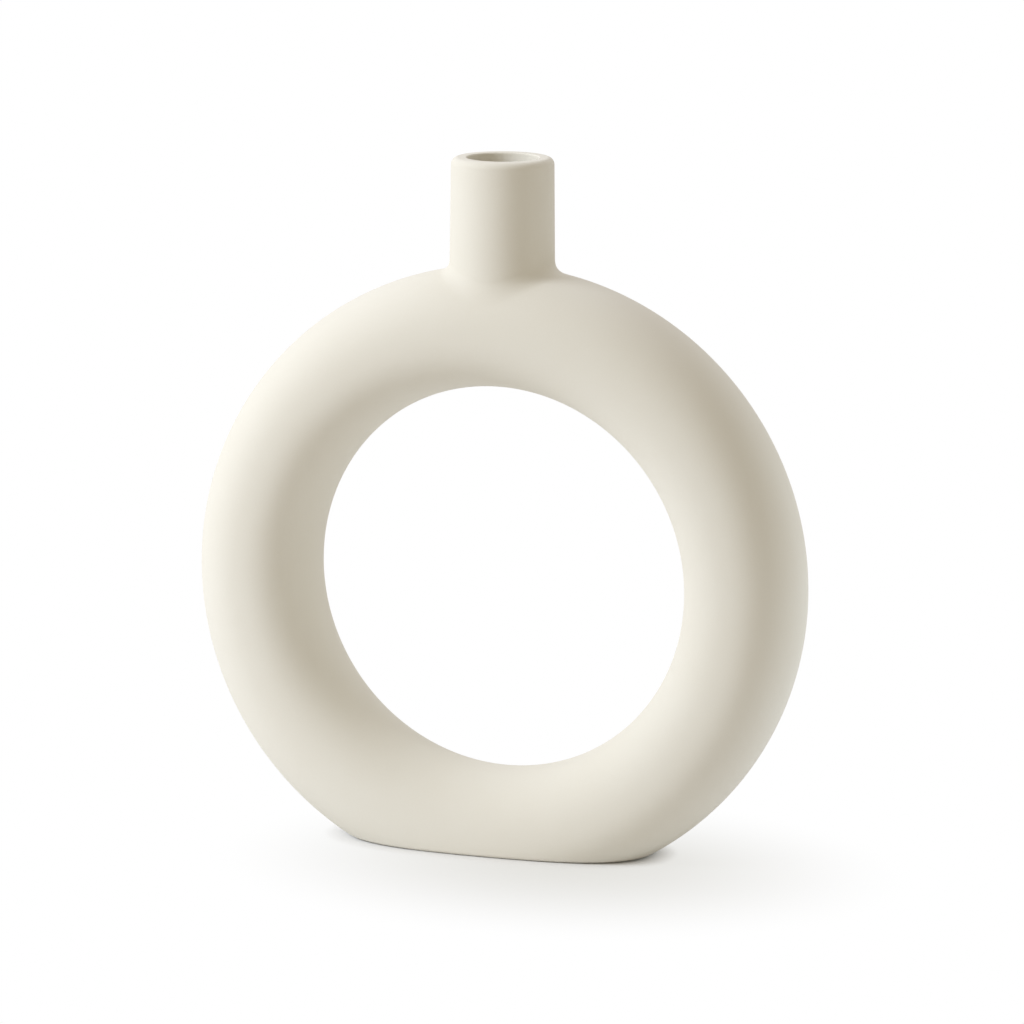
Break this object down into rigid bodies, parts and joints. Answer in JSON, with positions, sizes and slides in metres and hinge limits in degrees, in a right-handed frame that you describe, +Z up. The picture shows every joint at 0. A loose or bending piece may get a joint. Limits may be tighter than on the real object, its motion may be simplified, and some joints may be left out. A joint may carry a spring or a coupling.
{
  "type": "ring vase",
  "caption": "Hollow ring-shaped ceramic bud vase on a flat foot, with a short straight neck on its crown that opens into the ring's chamber.",
  "frame": {"origin": "middle of the flat underside, on the surface that the vase stands on", "axes": "+Z up along the neck, +X along the ring's width to the right as seen from the front, +Y through the ring's thickness to the rear"},
  "size_m": [0.21, 0.044, 0.2322],
  "materials": {
    "matte_clay": "fine, dry matte, slightly warm off-white"
  },
  "bodies": {
    "root": {"front_half_shell": "matte_clay", "rear_half_shell": "matte_clay", "left_seam_slip": "matte_clay", "right_seam_slip": "matte_clay", "hole_seam_slip": "matte_clay", "base_joint_slip": "matte_clay", "base_slab": "matte_clay", "neck_tube": "matte_clay", "neck_coil": "matte_clay"}
  },
  "joints": []
}
